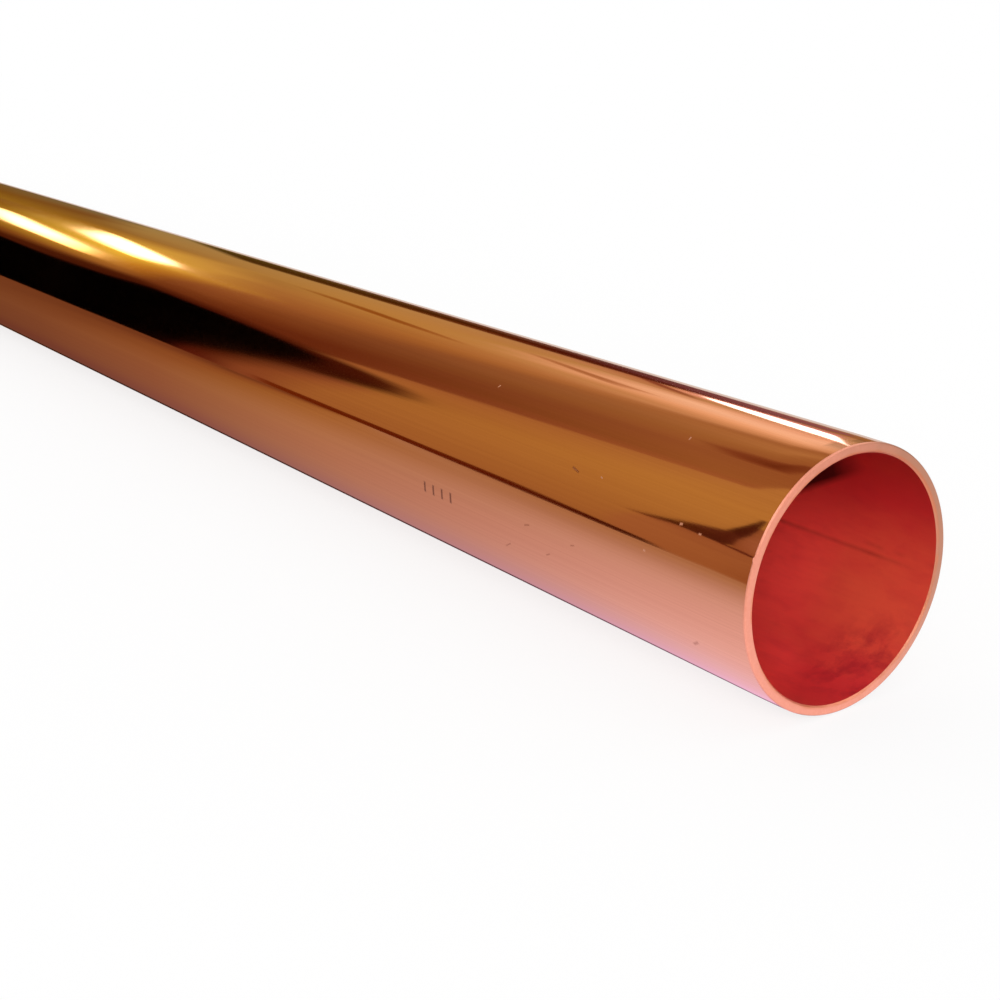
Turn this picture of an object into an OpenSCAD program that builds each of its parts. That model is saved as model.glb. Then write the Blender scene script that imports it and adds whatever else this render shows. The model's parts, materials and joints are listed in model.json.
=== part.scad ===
/* [Tube] */
// Outside diameter of the tube
outer_d = 54; // [12:0.5:108]
// Thickness of the wall
wall = 2; // [1:0.1:4]
// Length of the piece as it is sold
length = 1000; // [300:50:6000]

/* [Cut ends] */
// Radius that the cutting wheel leaves on the outer edge of each end
edge_round = 0.4; // [0.1:0.05:0.5]
// Leg of the chamfer that the reamer leaves at each mouth of the bore
mouth_chamfer = 0.3; // [0.1:0.05:0.4]

/* [Hidden] */
$fn = 96;
outer_r = outer_d / 2;
bore_r = outer_r - wall;
end_x = length / 2;
// How far a corner cutter reaches past the faces that it trims
overcut = 1;

// What the cutting wheel takes off the outer corner of the wall, in section
module rounded_corner_waste() {
    difference() {
        translate([outer_r - edge_round, end_x - edge_round])
            square(edge_round + overcut);
        translate([outer_r - edge_round, end_x - edge_round])
            circle(r = edge_round);
    }
}

// What the reamer takes off the inner corner of the wall, in section
module chamfered_mouth_waste() {
    polygon([
        [bore_r - overcut, end_x + overcut],
        [bore_r - overcut, end_x - mouth_chamfer - overcut],
        [bore_r + mouth_chamfer + overcut, end_x + overcut]
    ]);
}

// Half of the tube's lengthwise section: the wall, with both ends trimmed alike
module wall_section() {
    difference() {
        translate([bore_r, -end_x])
            square([wall, length]);
        for (end = [0, 1])
            mirror([0, end]) {
                rounded_corner_waste();
                chamfered_mouth_waste();
            }
    }
}

// The drawn tube lies along X on the floor, so its axis is one radius up
module tube() {
    color("#d98f6e")
        translate([0, 0, outer_r])
            rotate([0, 90, 0])
                rotate_extrude()
                    wall_section();
}

tube();
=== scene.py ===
import json
import math

import bpy
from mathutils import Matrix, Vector


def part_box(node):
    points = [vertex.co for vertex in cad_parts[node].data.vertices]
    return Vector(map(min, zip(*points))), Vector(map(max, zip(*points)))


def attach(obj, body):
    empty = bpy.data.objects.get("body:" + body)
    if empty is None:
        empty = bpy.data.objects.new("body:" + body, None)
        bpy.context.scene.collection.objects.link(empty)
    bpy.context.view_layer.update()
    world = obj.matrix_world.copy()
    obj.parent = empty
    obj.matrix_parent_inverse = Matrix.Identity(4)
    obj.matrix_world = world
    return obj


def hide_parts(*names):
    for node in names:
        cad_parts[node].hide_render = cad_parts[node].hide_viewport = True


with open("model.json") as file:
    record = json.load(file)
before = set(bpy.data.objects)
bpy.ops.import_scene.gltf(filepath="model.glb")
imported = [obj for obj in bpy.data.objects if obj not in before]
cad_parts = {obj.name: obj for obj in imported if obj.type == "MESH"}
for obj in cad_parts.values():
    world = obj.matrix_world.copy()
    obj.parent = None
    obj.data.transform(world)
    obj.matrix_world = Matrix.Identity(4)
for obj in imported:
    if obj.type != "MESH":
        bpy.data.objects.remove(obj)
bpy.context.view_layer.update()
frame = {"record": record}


# The tube: phosphorus-deoxidised copper, cast as a billet, pierced, then drawn cold through a polished die
# and over a plug, which leaves it straight, hard and mirror-bright. Each end was cut square by a wheel,
# which rounds the outer edge and draws the wall in a little, and was then reamed. It is one loose piece.
mm = 0.001
low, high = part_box("tube")
length = high.x - low.x
outer_r = (high.z - low.z) / 2
mounts = {mount["name"]: mount for mount in frame["record"]["mounts"]}
bore_r = mounts["bore"]["dims"]["r_mm"] * mm
end_x = length / 2
edge_round = 0.4 * mm
mouth_chamfer = 0.3 * mm
draw_in_depth = 0.14 * mm
draw_in_length = 9 * mm
burr_height = 0.7 * mm
burr_angle = math.radians(158.8)


def linear(hex_colour):
    """The linear colour of an sRGB hex value, as nodes and shaders take it."""
    channels = [int(hex_colour[i:i + 2], 16) / 255 for i in (1, 3, 5)]
    return tuple(c / 12.92 if c <= 0.04045 else ((c + 0.055) / 1.055) ** 2.4 for c in channels) + (1,)


def add(kind, inputs=(), **settings):
    """Adds a node to the tree that is being built, and feeds its inputs, a list in order or a dict by name.

    An input takes a value, a node's first output or a given output. Shader nodes go without their prefix.
    A MapRange that ends in another MapRange multiplies the two.
    """
    node = tree.nodes.new(kind if kind.startswith(("Geometry", "Node")) else "ShaderNode" + kind)
    for name, value in settings.items():
        setattr(node, name, value)
    for name, value in inputs.items() if isinstance(inputs, dict) else enumerate(inputs):
        if isinstance(value, bpy.types.Node):
            value = value.outputs[0]
        if isinstance(value, bpy.types.NodeSocket):
            tree.links.new(value, node.inputs[name])
        else:
            node.inputs[name].default_value = value
    return node


def empty_material(name):
    """A new material, and its tree with nothing in it."""
    material = bpy.data.materials.new(name)
    material.use_nodes = True
    material.node_tree.nodes.clear()
    return material, material.node_tree


def stroke(along, turned, length, width, lean=0.0):
    """A short straight mark: mm from the cut end, degrees from the top, its length, width and lean."""
    spot = add("Mapping", {
        "Vector": unrolled, "Location": (along * mm, math.radians(turned) * outer_r, 0),
        "Rotation": (0, 0, math.radians(lean)), "Scale": (length * mm, width * mm, 1)},
        vector_type="TEXTURE")
    off = add("SeparateXYZ", [add("VectorMath", [spot], operation="ABSOLUTE")]).outputs
    within_length = add("MapRange", [off["X"], 0.5, 0.35])
    within_width = add("MapRange", [off["Y"], 0.5, 0.15])
    return add("Math", [within_length, within_width], operation="MINIMUM")


def strokes(*marks):
    """Several marks as one pattern."""
    pattern = stroke(*marks[0])
    for mark in marks[1:]:
        pattern = add("Math", [pattern, stroke(*mark)], operation="MAXIMUM")
    return pattern


# Bright-drawn copper. The die leaves a mirror with lines along the tube, which blur what it mirrors a
# little round the tube. Handling leaves thin smears, a few specks of dust and short scratches. Two darker
# patches at the top of the cut end are painted shade over what it mirrors there. It also bears four plain
# ink ticks.
bright_copper, tree = empty_material("bright_drawn_copper")
line_length = 160 * mm
line_pitch = 0.45 * mm
smear_size = 26 * mm
place = add("TexCoord").outputs["Object"]
axes = add("SeparateXYZ", [place]).outputs
from_end = add("Math", [end_x, axes["X"]], operation="SUBTRACT")
near_side = add("Math", [axes["Y"], -1], operation="MULTIPLY")
height = add("Math", [axes["Z"], outer_r], operation="SUBTRACT")
turn = add("Math", [near_side, height], operation="ARCTAN2")
unrolled = add("CombineXYZ", [from_end, add("Math", [turn, outer_r], operation="MULTIPLY")])
ink = strokes(*[(94.5 + 3.5 * tick, 97.3, 3.0, 1.0, 84) for tick in range(4)])
dust = strokes((90.5, 36.6, 0.9, 0.5, 70), (30.4, 30.7, 0.9, 0.5, 100), (20.0, 66.4, 0.9, 0.65, 10),
               (14.6, 67.5, 0.8, 0.55), (28.0, 82.3, 0.8, 0.6), (45.2, 60.5, 0.8, 0.4, -20))
scratches = strokes((53.3, 61.3, 2.8, 0.7, -15), (15.2, 116.0, 2.4, 1.0, 35), (65.5, 93.6, 2.2, 0.6, 15),
                    (50.0, 93.8, 1.6, 0.5, 15), (59.0, 104.0, 2.0, 0.5, 25), (74.0, 109.0, 3.0, 0.5, 30))
# Two darker patches at the top of the cut end: painted shade over what the polish mirrors there.
painted_dark_patches = strokes((0.8, 6.6, 7.0, 4.6), (0.2, -3.5, 5.0, 4.0))
die_lines = add("TexNoise", {
    "Vector": add("Mapping", {
        "Vector": place, "Scale": (1 / line_length, 1 / line_pitch, 1 / line_pitch)}),
    "Scale": 1, "Detail": 3, "Roughness": 0.6})
smears = add("TexNoise", {
    "Vector": add("Mapping", {
        "Vector": place, "Scale": (0.3 / smear_size, 1 / smear_size, 1 / smear_size)}),
    "Scale": 1, "Detail": 4, "Roughness": 0.55, "Distortion": 0.6})
shade = add("Mix", {
    "Factor": add("MapRange", [die_lines, 0.3, 0.7]), "A": linear("#E2A085"), "B": linear("#E9A78B")},
    data_type="RGBA")
for marks, strength, colour in (
        (painted_dark_patches, 1.0, "#B67C5C"), (scratches, 0.36, "#8A4A34"),
        (ink, 0.85, "#641E0C"), (dust, 0.4, "#DCA896")):
    shade = add("Mix", {
        "Factor": add("Math", [marks, strength], operation="MULTIPLY"),
        "A": shade.outputs[2], "B": linear(colour)}, data_type="RGBA")
covered = add("Math", [dust, ink], operation="MAXIMUM")
marked = add("Math", [covered, scratches], operation="MAXIMUM")
smeared = add("MapRange", [smears, 0.35, 0.75, 0.05, 0.085])
shader = add("BsdfPrincipled", {
    "Base Color": shade.outputs[2],
    "Metallic": add("MapRange", [covered, 0, 1, 1, 0.65]),
    "Roughness": add("Math", [marked, 0.3, smeared], operation="MULTIPLY_ADD"),
    "Normal": add("Bump", {"Strength": 0.1, "Distance": 0.02 * mm, "Height": die_lines})})
add("OutputMaterial", {"Surface": shader})

# The bore. The plug leaves it duller than the outside, and an oxide film from the last anneal makes it
# red. Light and shade are painted into that red: orange painted light on the lower wall, in random clouds,
# painted crimson shade on the upper wall, painted scarlet light low down and further in, brighter painted
# light deeper in, and dark painted shade in one stretch high up. A grain of grit on the plug has scored a
# line, and the reamer's oil has stained the mouth.
red_bore, tree = empty_material("oxide_filmed_bore")
plug_pitch = 0.9 * mm
mottle_size = 2.6 * mm
cloud_size = 25 / 3 * mm
blot_size = 5 * mm
break_length = 100 / 9 * mm
break_width = 50 * mm
score_angle = math.radians(-10.2)
faint_score_angle = math.radians(-6)
score_width = 0.75 * mm
lit_band_angle = math.radians(-26)
stain_place = (end_x - 5 * mm, 0.4 * bore_r, outer_r - 0.85 * bore_r)
place = add("TexCoord").outputs["Object"]
axes = add("SeparateXYZ", [place]).outputs
depth = add("Math", [end_x, add("Math", [axes["X"]], operation="ABSOLUTE")], operation="SUBTRACT")
height = add("Math", [axes["Z"], outer_r], operation="SUBTRACT")
turn = add("Math", [height, axes["Y"]], operation="ARCTAN2")
tilt = add("Math", [height, add("Math", [axes["Y"]], operation="ABSOLUTE")], operation="ARCTAN2")
plug_lines = add("TexNoise", {
    "Vector": add("Mapping", {
        "Vector": place, "Scale": (1 / line_length, 1 / plug_pitch, 1 / plug_pitch)}),
    "Scale": 1, "Detail": 3, "Roughness": 0.6})
clouds = add("TexNoise", {
    "Vector": add("Mapping", {
        "Vector": place, "Scale": (0.5 / cloud_size, 1 / cloud_size, 1 / cloud_size)}),
    "Scale": 1, "Detail": 5, "Roughness": 0.6, "Distortion": 0.5})
blots = add("TexNoise", {
    "Vector": place, "Scale": 1 / blot_size, "Detail": 4, "Roughness": 0.6, "Distortion": 0.2})
mottle = add("TexNoise", {
    "Vector": add("Mapping", {
        "Vector": place, "Scale": (0.4 / mottle_size, 1 / mottle_size, 1 / mottle_size)}),
    "Scale": 1, "Detail": 3, "Roughness": 0.5, "Distortion": 0.3})
breaks = add("TexNoise", {
    "Vector": add("Mapping", {
        "Vector": place, "Scale": (1 / break_length, 1 / break_width, 1 / break_width)}),
    "Scale": 1, "Detail": 3})

from_stain = add("VectorMath", [place, stain_place], operation="DISTANCE").outputs["Value"]
stained = add("MapRange", [blots, 0.42, 0.62, 0, add("MapRange", [from_stain, 15 * mm, 7 * mm])])
off_score = add("Math", [
    add("Math", [turn, score_angle], operation="SUBTRACT")], operation="ABSOLUTE")
broken = add("MapRange", [breaks, 0.35, 0.6, 0.4, 1])
scored = add("MapRange", [
    off_score, score_width / bore_r, 0, 0, add("MapRange", [depth, 3 * mm, 16 * mm, 0, broken])])
off_faint = add("Math", [
    add("Math", [turn, faint_score_angle], operation="SUBTRACT")], operation="ABSOLUTE")
faintly_broken = add("MapRange", [breaks, 0.35, 0.6])
faintly_scored = add("MapRange", [
    off_faint, score_width / bore_r, 0, 0, add("MapRange", [depth, 30 * mm, 16 * mm, 0, faintly_broken])])
# Painted light: an orange band on the lower wall of the bore, where light falls, broken by random clouds.
off_lit_band = add("Math", [
    add("Math", [turn, lit_band_angle], operation="SUBTRACT")], operation="ABSOLUTE")
painted_light_band = add("MapRange", [
    off_lit_band, math.radians(48), math.radians(12), 0, add("MapRange", [depth, 46 * mm, 14 * mm])])
painted_light_band = add("Math", [painted_light_band, add("Math", [clouds, 1.4, -0.7], operation="MULTIPLY_ADD")], operation="ADD")
# Painted shade: a darker crimson on the upper wall of the bore.
painted_upper_shade = add("MapRange", [tilt, math.radians(-6), math.radians(48)])
# Painted light: a brighter red deep in the bore, where it would lie in shade.
painted_deep_light = add("MapRange", [depth, 22 * mm, 40 * mm])
# Painted light: scarlet low down and further in the bore.
low_and_deep = add("Math", [turn, -17 * mm, depth], operation="MULTIPLY_ADD")
painted_low_light = add("MapRange", [
    tilt, math.radians(-62), math.radians(-76), 0, add("MapRange", [low_and_deep, 36.8 * mm, 43.8 * mm])])
# Painted shade: a dark stretch high up and deep in the bore.
high_and_deep = add("Math", [depth, 21.5, tilt], operation="MULTIPLY_ADD")
inside_mouth = add("MapRange", [depth, 15 * mm, 26 * mm, 0, add("MapRange", [depth, 90 * mm, 55 * mm])])
painted_high_shade = add("MapRange", [high_and_deep, 0.9, 0.98, 0, inside_mouth])
oxide_and_painted_light = add("Mix", {
    "Factor": add("MapRange", [painted_light_band, 0, 1]),
    "A": linear("#DA3436"), "B": linear("#E2523A")}, data_type="RGBA")
# Painted light and shade, and the bore's own plug lines, mottle, stain and scores, laid on in turn.
for film_or_painted_light, strength, colour in (
        (painted_low_light, 0.9, "#FF4844"), (painted_deep_light, 0.9, "#FF4A42"), (plug_lines, 0.25, "#C83030"),
        (painted_upper_shade, 0.62, "#A61A1E"), (add("MapRange", [mottle, 0.45, 0.7]), 0.2, "#B81C2C"),
        (stained, 0.6, "#A01828"), (scored, 0.62, "#5C0E0E"), (faintly_scored, 0.5, "#701414"),
        (painted_high_shade, 0.94, "#280404")):
    oxide_and_painted_light = add("Mix", {
        "Factor": add("Math", [film_or_painted_light, strength], operation="MULTIPLY"),
        "A": oxide_and_painted_light.outputs[2], "B": linear(colour)}, data_type="RGBA")
shader = add("BsdfPrincipled", {
    "Base Color": oxide_and_painted_light.outputs[2], "Metallic": 0.15, "Roughness": 0.45,
    "Normal": add("Bump", {"Strength": 0.3, "Distance": 0.05 * mm, "Height": plug_lines})})
add("OutputMaterial", {"Surface": shader})

# The cut end. The wheel and the reamer leave clean copper with a satin turned face and a small burr. The
# reamed mouth is browner in patches, and shade is painted on the end, darker towards the +Y side.
cut_copper, tree = empty_material("wheel_cut_copper")
grain_size = 0.6 * mm
patch_size = 7 * mm
painted_shade_side = Vector((0, math.cos(math.radians(20)), math.sin(math.radians(20))))
axis_along_shade = painted_shade_side.z * outer_r
place = add("TexCoord").outputs["Object"]
grain = add("TexNoise", {"Vector": place, "Scale": 1 / grain_size, "Detail": 3})
patches = add("TexNoise", {"Vector": place, "Scale": 1 / patch_size, "Detail": 3})
toward_painted_shade = add("VectorMath", [place, painted_shade_side], operation="DOT_PRODUCT").outputs["Value"]
toward_painted_shade = add("Math", [patches, 30 * mm, toward_painted_shade], operation="MULTIPLY_ADD")
flattened = add("VectorMath", [place, (0, 1, 1)], operation="MULTIPLY")
from_axis = add("VectorMath", [flattened, (0, 0, outer_r)], operation="DISTANCE").outputs["Value"]
reamed = add("MapRange", [
    from_axis, bore_r + 0.7 * mm, bore_r + 0.25 * mm, 0, add("MapRange", [patches, 0.35, 0.6, 0, 0.7])])
shade = add("Mix", {"Factor": grain, "A": linear("#EC947C"), "B": linear("#F8A890")}, data_type="RGBA")
# Painted shade: the end darkens towards the +Y side, a little upwards, with a ragged edge.
shade = add("Mix", {
    "Factor": add("MapRange", [toward_painted_shade, axis_along_shade + 10 * mm, axis_along_shade + 37 * mm, 0, 0.85]),
    "A": shade.outputs[2], "B": linear("#C08C74")}, data_type="RGBA")
shade = add("Mix", {"Factor": reamed, "A": shade.outputs[2], "B": linear("#DC8058")}, data_type="RGBA")
shader = add("BsdfPrincipled", {
    "Base Color": shade.outputs[2], "Metallic": 0.6, "Roughness": 0.42,
    "Normal": add("Bump", {"Strength": 0.4, "Distance": 0.03 * mm, "Height": grain})})
add("OutputMaterial", {"Surface": shader})

# The tube's shape: the wall in section, a rectangle of wall by length with rings close together near the
# ends, where its shape changes, is drawn in and trimmed at its corners, and then turned round the axis.
tree = bpy.data.node_groups.new("drawn_tube", "GeometryNodeTree")
sizes = {
    "Length": length, "Outside radius": outer_r, "Bore radius": bore_r, "Edge round": edge_round,
    "Mouth chamfer": mouth_chamfer, "Draw-in depth": draw_in_depth, "Draw-in length": draw_in_length,
    "Ringed length": 40 * mm, "Ring share": 0.12, "Burr height": burr_height,
    "Rings": 90, "Facets round": 384, "Round steps": 6}
sockets = {}
for name, size in sizes.items():
    kind = "NodeSocketInt" if isinstance(size, int) else "NodeSocketFloat"
    sockets[name] = tree.interface.new_socket(name, in_out="INPUT", socket_type=kind).identifier
tree.interface.new_socket("Tube", in_out="OUTPUT", socket_type="NodeSocketGeometry")
given = add("NodeGroupInput").outputs
position = add("GeometryNodeInputPosition")
where = add("SeparateXYZ", [position]).outputs
half_length = add("Math", [given["Length"], 0.5], operation="MULTIPLY")
wall = add("Math", [given["Outside radius"], given["Bore radius"]], operation="SUBTRACT")
middle_r = add("Math", [wall, 0.5, given["Bore radius"]], operation="MULTIPLY_ADD")

section = add("GeometryNodeCurvePrimitiveQuadrilateral", {"Width": wall, "Height": given["Length"]})
long_side = add("Math", [add("GeometryNodeInputIndex"), 2], operation="MODULO")
section = add("GeometryNodeSubdivideCurve", {
    "Curve": section, "Cuts": add("Math", [long_side, given["Rings"]], operation="MULTIPLY")})
off_middle = add("Math", [where["Y"]], operation="ABSOLUTE")
share = add("Math", [off_middle, half_length], operation="DIVIDE")
plain_length = add("Math", [half_length, given["Ringed length"]], operation="SUBTRACT")
from_middle = add("Math", [
    add("MapRange", [share, 0, given["Ring share"], 0, plain_length]),
    add("MapRange", [share, given["Ring share"], 1, 0, given["Ringed length"]])], operation="ADD")
draw_in_start = add("Math", [half_length, given["Draw-in length"]], operation="SUBTRACT")
drawn_in = add("Math", [add("MapRange", [from_middle, draw_in_start, half_length]), 2], operation="POWER")
drawn_in = add("Math", [drawn_in, given["Draw-in depth"]], operation="MULTIPLY")
section = add("GeometryNodeSetPosition", {
    "Geometry": section,
    "Position": add("CombineXYZ", [
        add("Math", [where["X"], drawn_in], operation="SUBTRACT"),
        add("Math", [from_middle, add("Math", [where["Y"]], operation="SIGN")], operation="MULTIPLY")])})

near_end = add("Math", [half_length, 0.01 * mm], operation="SUBTRACT")
corner = add("Math", [off_middle, near_end], operation="GREATER_THAN")
inward = add("Math", [given["Draw-in depth"], -1], operation="MULTIPLY")
outside = add("Math", [where["X"], inward], operation="GREATER_THAN")
outer_corner = add("Math", [corner, outside], operation="MULTIPLY")
inner_corner = add("Math", [corner, outer_corner], operation="SUBTRACT")
rounding = add("Math", [outer_corner, given["Edge round"]], operation="MULTIPLY")
section = add("GeometryNodeFilletCurve", {
    "Curve": section,
    "Radius": add("Math", [inner_corner, given["Mouth chamfer"], rounding], operation="MULTIPLY_ADD"),
    "Count": add("Math", [outer_corner, given["Round steps"], 1], operation="MULTIPLY_ADD")}, mode="POLY")

turned = add("GeometryNodeCurveToMesh", {
    "Curve": add("GeometryNodeCurvePrimitiveCircle", {
        "Resolution": given["Facets round"], "Radius": middle_r}),
    "Profile Curve": section})
tube_shape = add("GeometryNodeMergeByDistance", {"Geometry": turned, "Distance": 0.01 * mm})
tube_shape = add("GeometryNodeTransform", {"Geometry": tube_shape, "Rotation": (0, math.radians(90), 0)})
tube_shape = add("GeometryNodeTransform", {
    "Geometry": tube_shape, "Translation": add("CombineXYZ", {"Z": given["Outside radius"]})})

outwards = (0, math.cos(burr_angle), math.sin(burr_angle))
burr_place = (end_x, outer_r * outwards[1], outer_r + outer_r * outwards[2])
off_burr = add("VectorMath", [position, burr_place], operation="DISTANCE").outputs["Value"]
from_cut = add("Math", [half_length, where["X"]], operation="SUBTRACT")
near_edge = add("MapRange", [from_cut, given["Edge round"], 0.1 * mm])
raised = add("MapRange", [off_burr, 0.9 * mm, 0.3 * mm, 0, near_edge])
tube_shape = add("GeometryNodeSetPosition", {
    "Geometry": tube_shape,
    "Offset": add("VectorMath", {
        0: outwards, "Scale": add("Math", [raised, given["Burr height"]], operation="MULTIPLY")},
        operation="SCALE")})
tube_shape = add("GeometryNodeSetShadeSmooth", {"Geometry": tube_shape})
fold = add("GeometryNodeInputMeshEdgeAngle").outputs["Unsigned Angle"]
tube_shape = add("GeometryNodeSetShadeSmooth", {
    "Geometry": tube_shape, "Shade Smooth": False,
    "Selection": add("Math", [fold, 0.1], operation="GREATER_THAN")}, domain="EDGE")
tube_shape = add("GeometryNodeRealizeInstances", {"Geometry": tube_shape})

height = add("Math", [where["Z"], given["Outside radius"]], operation="SUBTRACT")
across = add("CombineXYZ", [where["Y"], height])
from_axis = add("VectorMath", [across], operation="LENGTH").outputs["Value"]
bore_limit = add("Math", [wall, -0.45, middle_r], operation="MULTIPLY_ADD")
in_bore = add("Math", [from_axis, bore_limit], operation="LESS_THAN")
cut_start = add("Math", [given["Edge round"], -1.1, half_length], operation="MULTIPLY_ADD")
either_end = add("Math", [where["X"]], operation="ABSOLUTE")
on_cut = add("Math", [either_end, cut_start], operation="GREATER_THAN")
for material, chosen in ((bright_copper, True), (red_bore, in_bore), (cut_copper, on_cut)):
    tube_shape = add("GeometryNodeSetMaterial", {
        "Geometry": tube_shape, "Selection": chosen, "Material": material})
add("NodeGroupOutput", [tube_shape])

maker = bpy.data.objects.new("tube_maker", bpy.data.meshes.new("tube_maker"))
bpy.context.scene.collection.objects.link(maker)
turning = maker.modifiers.new("drawn tube", "NODES")
turning.node_group = tree
for name, size in sizes.items():
    turning[sockets[name]] = size
mesh = bpy.data.meshes.new_from_object(maker.evaluated_get(bpy.context.evaluated_depsgraph_get()))
mesh.name = "copper_tube"
bpy.data.objects.remove(maker)
tube = bpy.data.objects.new("copper_tube", mesh)
bpy.context.scene.collection.objects.link(tube)
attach(tube, "root")
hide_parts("tube")


# The floor: white paper, evenly lit, with the tube's soft shadow. Far off it glows as white as lit paper.
def plane(name, corners):
    """A flat stage piece through the given corners."""
    mesh = bpy.data.meshes.new(name)
    mesh.from_pydata(corners, [], [tuple(range(len(corners)))])
    piece = bpy.data.objects.new(name, mesh)
    bpy.context.scene.collection.objects.link(piece)
    return piece


def only_in_polish(piece):
    """Lets nothing but mirror rays see a stage piece."""
    for ray in ("camera", "diffuse", "transmission", "volume_scatter", "shadow"):
        setattr(piece, "visible_" + ray, False)


far = 30.0
floor = plane("floor", [(-far, -far, 0), (far, -far, 0), (far, far, 0), (-far, far, 0)])
floor.visible_glossy = False
paper, tree = empty_material("white_paper")
place = add("TexCoord").outputs["Object"]
from_tube = add("VectorMath", [place], operation="LENGTH").outputs["Value"]
seen = add("MixShader", [
    add("MapRange", [from_tube, 0.8, 1.6, 0.8]),
    add("BsdfDiffuse", {"Color": linear("#FFFFFF")}), add("Emission", {"Color": linear("#FFFFFF")})])
dimmed = add("BsdfDiffuse", {"Color": linear("#A08C78")})
add("OutputMaterial", {
    "Surface": add("MixShader", [add("LightPath").outputs["Is Camera Ray"], dimmed, seen])})
floor.data.materials.append(paper)

# What the polish mirrors of the floor: a brown bench that dips a little away from the cut end, with a
# painted pool of cool light on it at that end, painted shade towards the tube and away from the end, and the
# tube's painted shadow under it; and on the other sides white paper, with painted light near the cut end.
back_edge = 30 * mm
front_edge = -0.8
lamp_pool_reach = 115 * mm
dip = math.tan(math.radians(3.7))
outline = ((-far, -20), (-0.35, front_edge), (end_x, front_edge), (end_x, back_edge), (-far, back_edge))
bench = plane("mirrored_bench", [(x, y, dip * (x - end_x)) for x, y in outline])
wood, tree = empty_material("mirrored_bench")
place = add("TexCoord").outputs["Object"]
axes = add("SeparateXYZ", [place]).outputs
off_axis = add("Math", [axes["Y"]], operation="ABSOLUTE")
from_end = add("VectorMath", [place, (end_x, 0, 0)], operation="DISTANCE").outputs["Value"]
# Painted light: a pool of cool light on the bench at the cut end, fading away from it.
lamp_pool = add("Math", [
    math.exp(-1), add("Math", [from_end, lamp_pool_reach], operation="DIVIDE")], operation="POWER")
off_lamp_pool = add("Math", [1, lamp_pool], operation="SUBTRACT")
# Painted shade: the brown bench darkens towards the tube and away from the cut end.
along = add("Math", [off_axis, 1.5, axes["X"]], operation="MULTIPLY_ADD")
brown_in_painted_shade = add("ValToRGB", [add("MapRange", [along, -0.1, 0.5])])
brown_in_painted_shade.color_ramp.elements.remove(brown_in_painted_shade.color_ramp.elements[0])
brown_in_painted_shade.color_ramp.elements[0].color = linear("#BCA27C")
for position, colour in (
        (0.0, "#7F5634"), (0.3, "#8A6039"), (0.53, "#9D7340"), (0.63, "#A88449"), (0.77, "#B6955A")):
    brown_in_painted_shade.color_ramp.elements.new(position).color = linear(colour)
shaded = add("Mix", {
    "Factor": lamp_pool, "A": brown_in_painted_shade, "B": (0.72, 0.82, 1.22, 1)}, data_type="RGBA", blend_type="ADD")
# Painted shade near the tube in three tints, and the tube's painted shadow under it.
lean = 0.04
under_tube = add("Math", [axes["X"], lean, axes["Y"]], operation="MULTIPLY_ADD")
for shadow, tint in (
        (add("MapRange", [off_axis, 80 * mm, 10 * mm, 0, off_lamp_pool]), (0.8, 0.6, 0.58, 1)),
        (add("MapRange", [off_axis, 30 * mm, 6 * mm]), (0.90, 0.80, 1.0, 1)),
        (add("MapRange", [off_axis, 20 * mm, 8 * mm, 0, lamp_pool]), (0.96, 0.64, 0.68, 1)),
        (add("MapRange", [under_tube, lean * end_x - 11.5 * mm, lean * end_x - 9.5 * mm]),
         (0.2, 0.16, 0.16, 1))):
    shaded = add("Mix", {
        "Factor": shadow, "A": shaded.outputs[2], "B": tint}, data_type="RGBA", blend_type="MULTIPLY")
add("OutputMaterial", {"Surface": add("Emission", {"Color": shaded.outputs[2]})})
bench.data.materials.append(wood)
only_in_polish(bench)

pale, tree = empty_material("mirrored_paper")
place = add("TexCoord").outputs["Object"]
from_end = add("VectorMath", [place, (end_x, 0, 0)], operation="DISTANCE").outputs["Value"]
# Painted light: the paper is brighter near the cut end.
lamp_pool = add("Mix", {
    "Factor": add("MapRange", [from_end, 60 * mm, 120 * mm]),
    "A": (1.08, 1.05, 1.1, 1), "B": linear("#E2D6CC")}, data_type="RGBA")
add("OutputMaterial", {"Surface": add("Emission", {"Color": lamp_pool.outputs[2]})})
for name, corners in {
        "mirrored_back": ((-far, back_edge), (end_x, back_edge), (end_x, far), (-far, far)),
        "mirrored_front": ((end_x, -far), (far, -far), (far, far), (end_x, far))}.items():
    paper_side = plane(name, [(x, y, 0) for x, y in corners])
    paper_side.data.materials.append(pale)
    only_in_polish(paper_side)


# What the polish mirrors beyond the far end: studio flats, flags and lamps, seen by nothing else. Each
# corner is given across and up per metre away, with its colour where that isn't the middle's, and the
# border fades over the given softness. Each card stands a little nearer than the one before it.
studio, tree = empty_material("mirrored_studio")
farthest_card = 20.0
card_gap = 0.1
mirror_x = end_x - 50 * mm
glow = add("Attribute", attribute_name="glow").outputs
add("OutputMaterial", {
    "Surface": add("MixShader", [
        glow["Alpha"], add("BsdfTransparent"), add("Emission", {"Color": glow["Color"]})])})
cards = []


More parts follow.
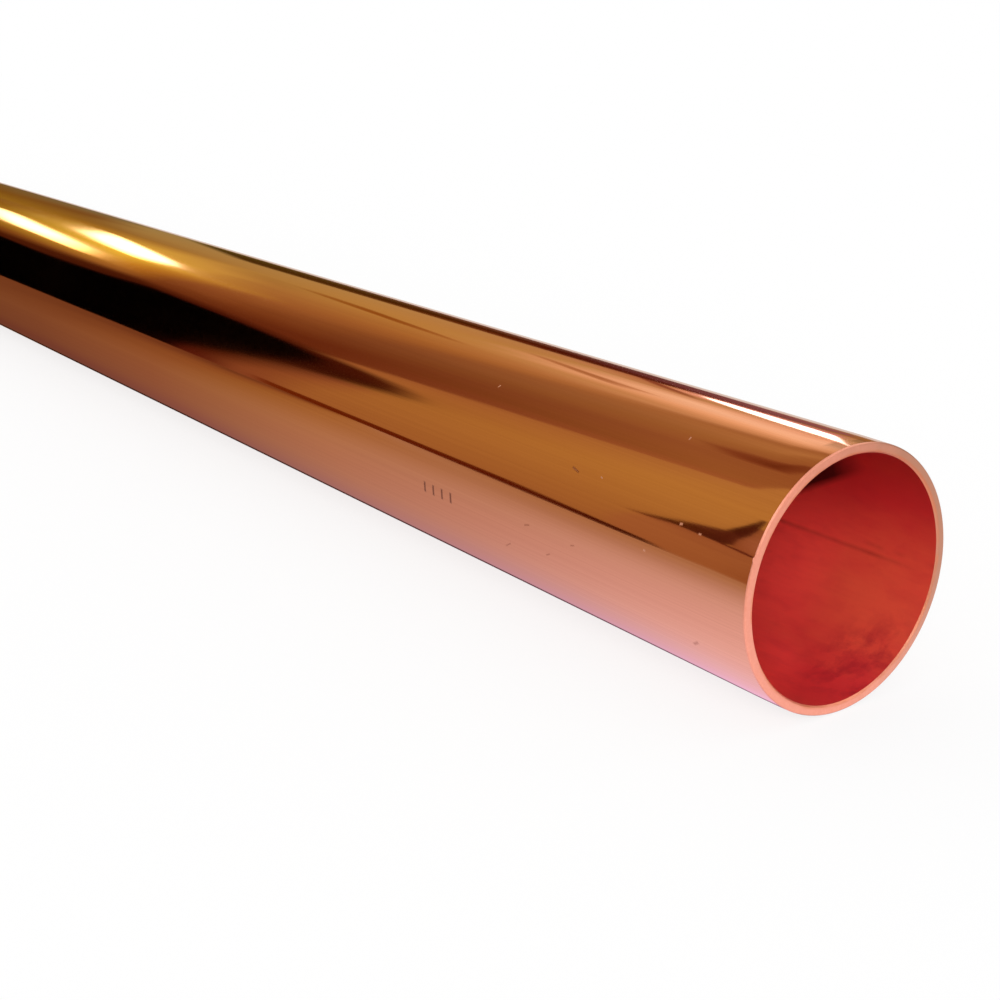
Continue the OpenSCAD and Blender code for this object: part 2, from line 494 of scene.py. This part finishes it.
def card(name, softness, strength, middle, *rim):
    """A card that glows in its own colours, strongest at the given strength."""
    away = farthest_card - card_gap * (len(cards) + 1)
    corners = [middle] + [corner if len(corner) == 3 else (*corner, middle[2]) for corner in rim]
    for across, up, colour in corners[1:]:
        outwards = Vector((across - middle[0], up - middle[1])).normalized() * softness
        corners.append((across + outwards.x, up + outwards.y, colour))
    count = len(rim)
    faces = []
    for i in range(count):
        this, following = 1 + i, 1 + (i + 1) % count
        faces += [(0, this, following), (this, this + count, following + count, following)]
    mesh = bpy.data.meshes.new(name)
    places = [(mirror_x - away, across * away, up * away) for across, up, colour in corners]
    mesh.from_pydata(places, [], faces)
    glow = mesh.attributes.new("glow", "FLOAT_COLOR", "POINT")
    for i, (across, up, colour) in enumerate(corners):
        glow.data[i].color = [strength * c for c in linear(colour)[:3]] + [1.0 if i <= count else 0.0]
    mesh.materials.append(studio)
    piece = bpy.data.objects.new(name, mesh)
    bpy.context.scene.collection.objects.link(piece)
    only_in_polish(piece)
    cards.append(piece)


# Warm flats, from the dim one at the back to the cream ones at the right
card("brown_flat", 0.5, 1, (-0.28, 0.55, "#703E20"),
     (-0.45, -0.2, "#6A3C20"), (-0.45, 0.42, "#6E3C1E"), (-0.45, 0.9, "#B07E50"), (-0.28, 1.02, "#A67E48"),
     (0.0, 1.0, "#A2784A"), (0.25, 1.0, "#B08E54"), (0.55, 1.08, "#C4A468"), (0.42, 0.86, "#B4905A"),
     (0.2, 0.7, "#AC844A"), (0.0, 0.6, "#9A703F"), (-0.05, 0.5, "#946634"), (-0.1, -0.2, "#6A4A20"))
card("brown_smudge", 0.045, 1, (0.10, 1.12, "#703C1C"),
     (0.05, 1.07, "#8A5632"), (0.12, 1.04, "#8E5A36"), (0.18, 1.08, "#8A5632"), (0.22, 1.15, "#8A5632"),
     (0.32, 1.2, "#8A5632"), (0.32, 1.27, "#8A5632"), (0.18, 1.25, "#8A5632"), (0.05, 1.19, "#8A5632"))
card("gold_flat", 0.012, 1, (-0.65, 0.7, "#C6A958"),
     (-0.39, -0.2, "#9E7040"), (-0.39, 0.1, "#9E7040"), (-0.39, 0.6, "#B08850"), (-0.385, 1.06, "#C4A45E"),
     (-0.355, 1.15, "#C4A45E"), (-0.28, 1.23, "#C4A45E"), (-0.2, 1.3, "#C4A45E"), (-1.0, 1.3, "#C8AA5A"),
     (-1.4, 0.6, "#BEA05A"), (-1.4, -0.2, "#A8804A"), (-0.75, -0.2, "#AA824C"))
card("tan_flat", 0.02, 1, (-1.1, 0.1, "#AC8150"),
     (-0.945, -0.2), (-0.945, 0.25, "#B08654"), (-0.96, 0.33, "#A87C50"), (-1.4, 0.36, "#A87C50"),
     (-1.4, -0.2, "#9C6C40"))
card("ochre_flat", 0.1, 1, (0.42, 0.52, "#C8AC5C"),
     (-0.1, 0.5, "#96683A"), (0.05, 0.57, "#A87E46"), (0.22, 0.66, "#B8924E"), (0.36, 0.74, "#C8A468"),
     (0.5, 0.82, "#DCC08C"), (0.64, 0.92, "#D0AE78"), (1.1, 1.2, "#F0D0A8"), (1.6, 0.9, "#FFE8D0"),
     (1.6, 0.3, "#C8A078"), (0.9, 0.3, "#C49868"), (0.9, -0.2, "#B08A60"), (0.36, -0.2, "#746840"),
     (0.2, 0.2, "#745A20"))
card("cream_flat", 0.15, 1.2, (0.80, 0.72, "#FFEECE"),
     (0.58, 0.64, "#E4C89C"), (0.67, 0.80, "#ECD0A2"), (0.79, 0.86, "#F4E0BC"), (1.0, 0.85, "#F0DCC0"),
     (1.2, 0.74, "#E8C8A8"), (1.0, 0.66, "#E8C09C"), (0.8, 0.64, "#F4DCC0"))
card("low_cream_flat", 0.1, 1.12, (0.78, 0.60, "#FFECC8"),
     (0.62, 0.55, "#E0BC8C"), (0.62, 0.64, "#ECD0A2"), (0.78, 0.68, "#FFF0D0"), (0.90, 0.64, "#F4D4B0"),
     (0.92, 0.56, "#E0BC94"), (0.76, 0.53, "#E4C498"))

# The two strip lamps and the glow round them
card("olive_glow", 0.05, 1, (0.28, 0.22, "#84601E"),
     (0.2, 0.34, "#A08428"), (0.3, 0.28, "#94742C"), (0.37, 0.20, "#805A26"), (0.41, 0.12, "#86683A"),
     (0.44, 0.05, "#807048"), (0.44, -0.1, "#706040"), (0.2, 0.1, "#7C5E1E"))
card("lamp_glow", 0.08, 1.12, (0.0, 0.45, "#FCF458"),
     (-0.19, 0.35, "#8C682C"), (-0.185, 0.385, "#A4803C"), (-0.15, 0.42, "#B08C40"),
     (-0.1, 0.445, "#C49C30"), (0.04, 0.51, "#C8B04C"), (0.2, 0.48, "#D0BC5C"), (0.33, 0.40, "#C4AC54"),
     (0.24, 0.34, "#A4842C"), (0.12, 0.34, "#8C6C1A"), (-0.1, 0.3, "#784C12"))
card("left_strip_lamp", 0.015, 4.2, (-0.03, 0.384, "#FFFFF0"),
     (-0.13, 0.393, "#FFEC90"), (-0.1, 0.407, "#FFF498"), (-0.05, 0.413, "#FFFFB0"),
     (-0.01, 0.398, "#FFFFB8"), (0.05, 0.37, "#FFFFB0"), (0.05, 0.35, "#FFFFB0"), (-0.07, 0.364, "#FFFFC0"))
card("right_strip_lamp", 0.015, 5, (0.11, 0.435, "#FFFFF0"),
     (0.015, 0.452, "#FFFF98"), (0.05, 0.467, "#FFFFC0"), (0.085, 0.472, "#FFFFD0"),
     (0.125, 0.458, "#FFFFD0"), (0.16, 0.436, "#FFFFC0"), (0.195, 0.405, "#FFFFB0"),
     (0.22, 0.377, "#FFFFB0"), (0.16, 0.396, "#FFFFC8"), (0.1, 0.414, "#FFFFC0"), (0.05, 0.431, "#FFFFB0"))

# The dark flags and their fringes, left
card("warm_fringe", 0.05, 1, (-0.5, 0.15, "#A06C40"),
     (-0.575, -0.06, "#946440"), (-0.575, 0.1, "#98683F"), (-0.575, 0.2, "#A07046"), (-0.57, 0.3, "#A4744A"),
     (-0.5, 0.36, "#A4744A"), (-0.46, -0.06, "#946440"))
card("brown_fringe", 0.05, 1, (-0.42, 0.2, "#300C04"),
     (-0.525, -0.06, "#602818"), (-0.53, 0.04, "#50200E"), (-0.53, 0.2, "#401808"),
     (-0.545, 0.36, "#441C0C"), (-0.535, 0.42, "#441C0C"), (-0.50, 0.465, "#4C200E"),
     (-0.46, 0.48, "#4C200E"), (-0.39, 0.462, "#4C200E"), (-0.3, 0.435, "#4C200E"),
     (-0.235, 0.39, "#502810"), (-0.225, 0.33, "#502810"), (-0.19, 0.27, "#502810"),
     (-0.26, -0.06, "#401808"))
card("black_flag", 0.02, 1, (-0.42, 0.2, "#000000"),
     (-0.496, -0.06), (-0.51, 0.03), (-0.522, 0.12), (-0.522, 0.2), (-0.505, 0.3), (-0.475, 0.38),
     (-0.44, 0.425), (-0.39, 0.44), (-0.33, 0.422), (-0.27, 0.385), (-0.285, 0.335), (-0.275, 0.29),
     (-0.225, 0.275), (-0.225, 0.25), (-0.28, 0.16), (-0.31, -0.06))
card("brown_wedge", 0.02, 1, (-1.08, 0.55, "#A87A54"),
     (-1.0, 0.64, "#A07448"), (-0.95, 0.76, "#A07448"), (-1.0, 0.82, "#A07448"), (-1.1, 0.74, "#A87C58"),
     (-1.6, 0.7, "#C09478"), (-1.6, 0.39, "#B88C70"), (-1.07, 0.37, "#9C6C40"))
card("small_flag", 0.01, 1, (-0.985, 0.47, "#582C1C"),
     (-1.04, 0.335, "#502818"), (-1.0, 0.325, "#502818"), (-0.958, 0.33, "#6C4420"),
     (-0.945, 0.40, "#5C3020"), (-0.95, 0.50, "#5C3020"), (-0.945, 0.58), (-1.01, 0.585), (-1.04, 0.53),
     (-1.075, 0.39))
card("small_flag_tail", 0.012, 1, (-0.952, 0.34, "#502410"),
     (-0.925, 0.262, "#7C4820"), (-0.938, 0.31, "#5C3014"), (-0.946, 0.36, "#50280F"),
     (-0.95, 0.41, "#50280F"), (-0.975, 0.40, "#50280F"), (-0.966, 0.34, "#50280F"),
     (-0.95, 0.28, "#64381A"))
card("upper_flag", 0.008, 1, (-0.97, 0.66, "#481C10"),
     (-1.05, 0.53, "#54281A"), (-0.945, 0.57), (-0.932, 0.68), (-0.912, 0.75, "#4C2014"),
     (-0.885, 0.83, "#502818"), (-0.85, 0.90, "#502818"), (-0.87, 0.92, "#502818"),
     (-0.935, 0.84, "#502818"), (-0.99, 0.745, "#4C2014"), (-1.03, 0.64))

# Battens and low flags near the bench
card("thin_batten", 0.006, 1, (-1.15, 0.355, "#5C2014"),
     (-1.03, 0.32), (-1.03, 0.338), (-1.15, 0.368), (-1.28, 0.385), (-1.28, 0.365), (-1.15, 0.343))
card("dark_batten", 0.014, 1, (-0.78, -0.055, "#602004"),
     (-1.0, -0.11, "#401000"), (-0.985, -0.065, "#401000"), (-0.82, -0.022), (-0.58, -0.018, "#743408"),
     (-0.58, -0.06, "#743408"), (-0.75, -0.075))
card("low_white_card", 0.08, 1, (0.9, -0.1, "#A89888"),
     (0.3, -0.1, "#6C6448"), (0.36, -0.04, "#6C6448"), (0.8, -0.02, "#847868"), (1.3, 0.0, "#A08C84"),
     (1.4, -0.3, "#D0C4C0"), (0.6, -0.3, "#C0BCB0"))
card("low_dark_flag", 0.025, 1, (0.8, 0.18, "#4C1400"),
     (0.50, 0.04, "#584818"), (0.50, 0.17, "#483008"), (0.49, 0.225, "#583C10"), (0.62, 0.25, "#6C3C0C"),
     (0.70, 0.27, "#6C3010"), (0.78, 0.29, "#5A1C04"), (0.87, 0.31, "#602410"), (0.94, 0.28, "#602410"),
     (1.03, 0.275, "#7C403C"), (1.2, 0.2, "#946868"), (1.2, 0.1, "#A06468"), (1.0, 0.0, "#784C44"),
     (0.7, 0.0, "#80583A"))

# The bright reflector at the right
card("reflector_glow", 0.03, 1, (1.02, 0.34, "#F0C0B0"),
     (0.905, 0.342, "#F0B490"), (0.88, 0.375, "#F8BC98"), (0.93, 0.43, "#F0C4A4"), (1.15, 0.39, "#E8B0A8"),
     (1.155, 0.325, "#C88C84"), (1.1, 0.30, "#C88C84"), (1.0, 0.288, "#B87868"), (0.945, 0.312, "#D89070"))
card("reflector_card", 0.012, 4, (1.04, 0.43, "#FFFFFF"),
     (0.965, 0.33), (0.94, 0.353, "#FFF4E4"), (0.938, 0.39), (0.948, 0.44), (0.972, 0.50), (1.02, 0.555),
     (1.055, 0.64), (1.07, 0.69), (1.082, 0.62), (1.10, 0.54), (1.112, 0.47), (1.115, 0.42), (1.09, 0.388),
     (1.05, 0.362), (1.01, 0.345))

# Stands and a small flat in front of the others
card("left_stand", 0.018, 1, (0.392, 0.53, "#985F1A"),
     (0.378, 0.455, "#A67C34"), (0.374, 0.50, "#A0702A"), (0.370, 0.56, "#A0702A"),
     (0.380, 0.605, "#B08440"), (0.400, 0.605, "#B08440"), (0.407, 0.56, "#A0702A"),
     (0.414, 0.50, "#A0702A"), (0.404, 0.455, "#A67C34"))
card("right_stand", 0.025, 1, (0.625, 0.62, "#B88A58"),
     (0.615, 0.52, "#C09460"), (0.60, 0.64, "#C09460"), (0.60, 0.66, "#D0A878"), (0.665, 0.655, "#D8B080"),
     (0.645, 0.62, "#C09460"), (0.64, 0.52, "#C09460"))
card("brown_flat_low", 0.04, 1, (0.82, 0.40, "#C89C68"),
     (0.76, 0.33), (0.78, 0.45, "#CCA470"), (0.84, 0.47, "#C89868"), (0.87, 0.45, "#C89868"),
     (0.88, 0.33, "#BC8058"))
card("short_stand", 0.012, 1, (0.865, 0.42, "#A06440"),
     (0.865, 0.32, "#904C30"), (0.85, 0.42, "#A06C48"), (0.85, 0.48, "#B08058"), (0.865, 0.485, "#B08058"),
     (0.878, 0.42, "#A06C48"), (0.885, 0.32, "#904C30"))


# Light: an even pale studio, and a broad soft lamp behind the camera and to its right. Mirror rays that
# pass the cards meet a ceiling with two long strip lights, dim walls, and a pale wall at the cut end.
world = bpy.data.worlds.new("studio")
bpy.context.scene.world = world
world.use_nodes = True
tree = world.node_tree
tree.nodes.clear()
strip_edge = 0.04
strip_glow = (1.9, 1.85, 1.75, 1)
direction = add("SeparateXYZ", [add("TexCoord").outputs["Generated"]]).outputs
around = add("Math", [direction["Y"], direction["Z"]], operation="ARCTAN2")
from_zenith = add("Math", [around], operation="ABSOLUTE")
left_strip, right_strip = [
    add("MapRange", [
        around, start - strip_edge, start + strip_edge, 0,
        add("MapRange", [around, stop + strip_edge, stop - strip_edge])])
    for start, stop in ((-0.95, -0.45), (0.6, 0.95))]
room = add("Mix", {
    "Factor": add("MapRange", [from_zenith, 0.6, 1.35]),
    "A": linear("#C8B4A0"), "B": linear("#6A4832")}, data_type="RGBA")
for part, colour in (
        (add("MapRange", [from_zenith, 1.35, 1.5]), linear("#3A2418")),
        (left_strip, strip_glow), (right_strip, strip_glow),
        (add("MapRange", [direction["X"], 0.8, 0.97]), linear("#E4D8CC")),
        (add("MapRange", [direction["X"], -0.5, -0.6]), linear("#A57846"))):
    room = add("Mix", {"Factor": part, "A": room.outputs[2], "B": colour}, data_type="RGBA")
rays = add("LightPath").outputs
plain = add("Background", {"Color": linear("#FFFFFF"), "Strength": 0.68})
mirrored = add("Background", {"Color": room.outputs[2], "Strength": 1.0})
seen = add("Background", {"Color": linear("#FFFFFF"), "Strength": 1.0})
lit = add("MixShader", [rays["Is Glossy Ray"], plain, mirrored])
add("OutputWorld", {"Surface": add("MixShader", [rays["Is Camera Ray"], lit, seen])})

lamp = bpy.data.lights.new("soft_lamp", "SUN")
lamp.energy = 0.86 * math.pi
lamp.angle = math.radians(40)
soft_lamp = bpy.data.objects.new("soft_lamp", lamp)
soft_lamp.rotation_euler = Vector((0.6, -0.41, 0.29)).to_track_quat("Z", "Y").to_euler()
soft_lamp.visible_glossy = False
bpy.context.scene.collection.objects.link(soft_lamp)


# The camera: the photo's, low and near the cut end, on the side that the photo shows.
camera_dip = math.radians(18.1)
camera_turn = math.radians(54.36)
camera = bpy.data.objects.new("camera", bpy.data.cameras.new("camera"))
camera.data.lens = 58.34
camera.data.sensor_width = 36.0
camera.location = (0.6934, -0.2195, 0.1363)
camera.rotation_euler = (math.radians(90) - camera_dip, 0, camera_turn)
camera.data.clip_start, camera.data.clip_end = 0.01, 200.0
bpy.context.scene.collection.objects.link(camera)
bpy.context.scene.camera = camera
bpy.context.scene.view_settings.view_transform = "Standard"
